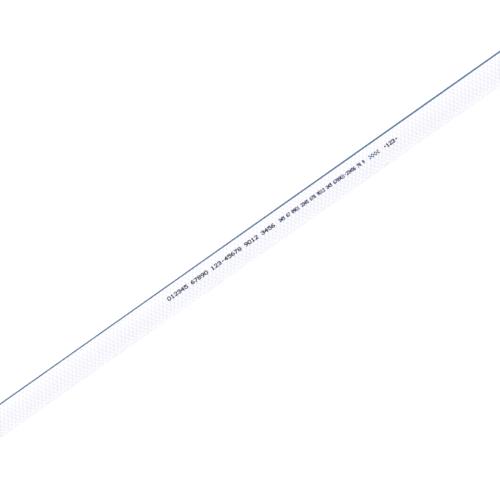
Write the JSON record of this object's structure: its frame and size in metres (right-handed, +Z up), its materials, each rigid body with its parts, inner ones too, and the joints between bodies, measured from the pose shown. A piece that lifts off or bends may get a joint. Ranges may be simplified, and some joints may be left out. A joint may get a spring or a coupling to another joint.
{
  "type": "fluoropolymer hose",
  "caption": "Straight length of round milky-white reinforced hose with a fluoropolymer liner, a faint yarn braid and a thin blue line, cut square at both ends.",
  "frame": {"origin": "on the floor under the middle of the hose", "axes": "+X along the hose, +Y to its side, +Z up"},
  "size_m": [1, 0.022, 0.022],
  "materials": {
    "cover": "soft milky white polymer cover, satin gloss",
    "liner": "smooth waxy white fluoropolymer liner",
    "yarn": "white polyester reinforcing yarn",
    "line": "blue line coextruded with the cover, satin gloss",
    "print": null
  },
  "bodies": {
    "root": {"hose": "cover"}
  },
  "joints": []
}
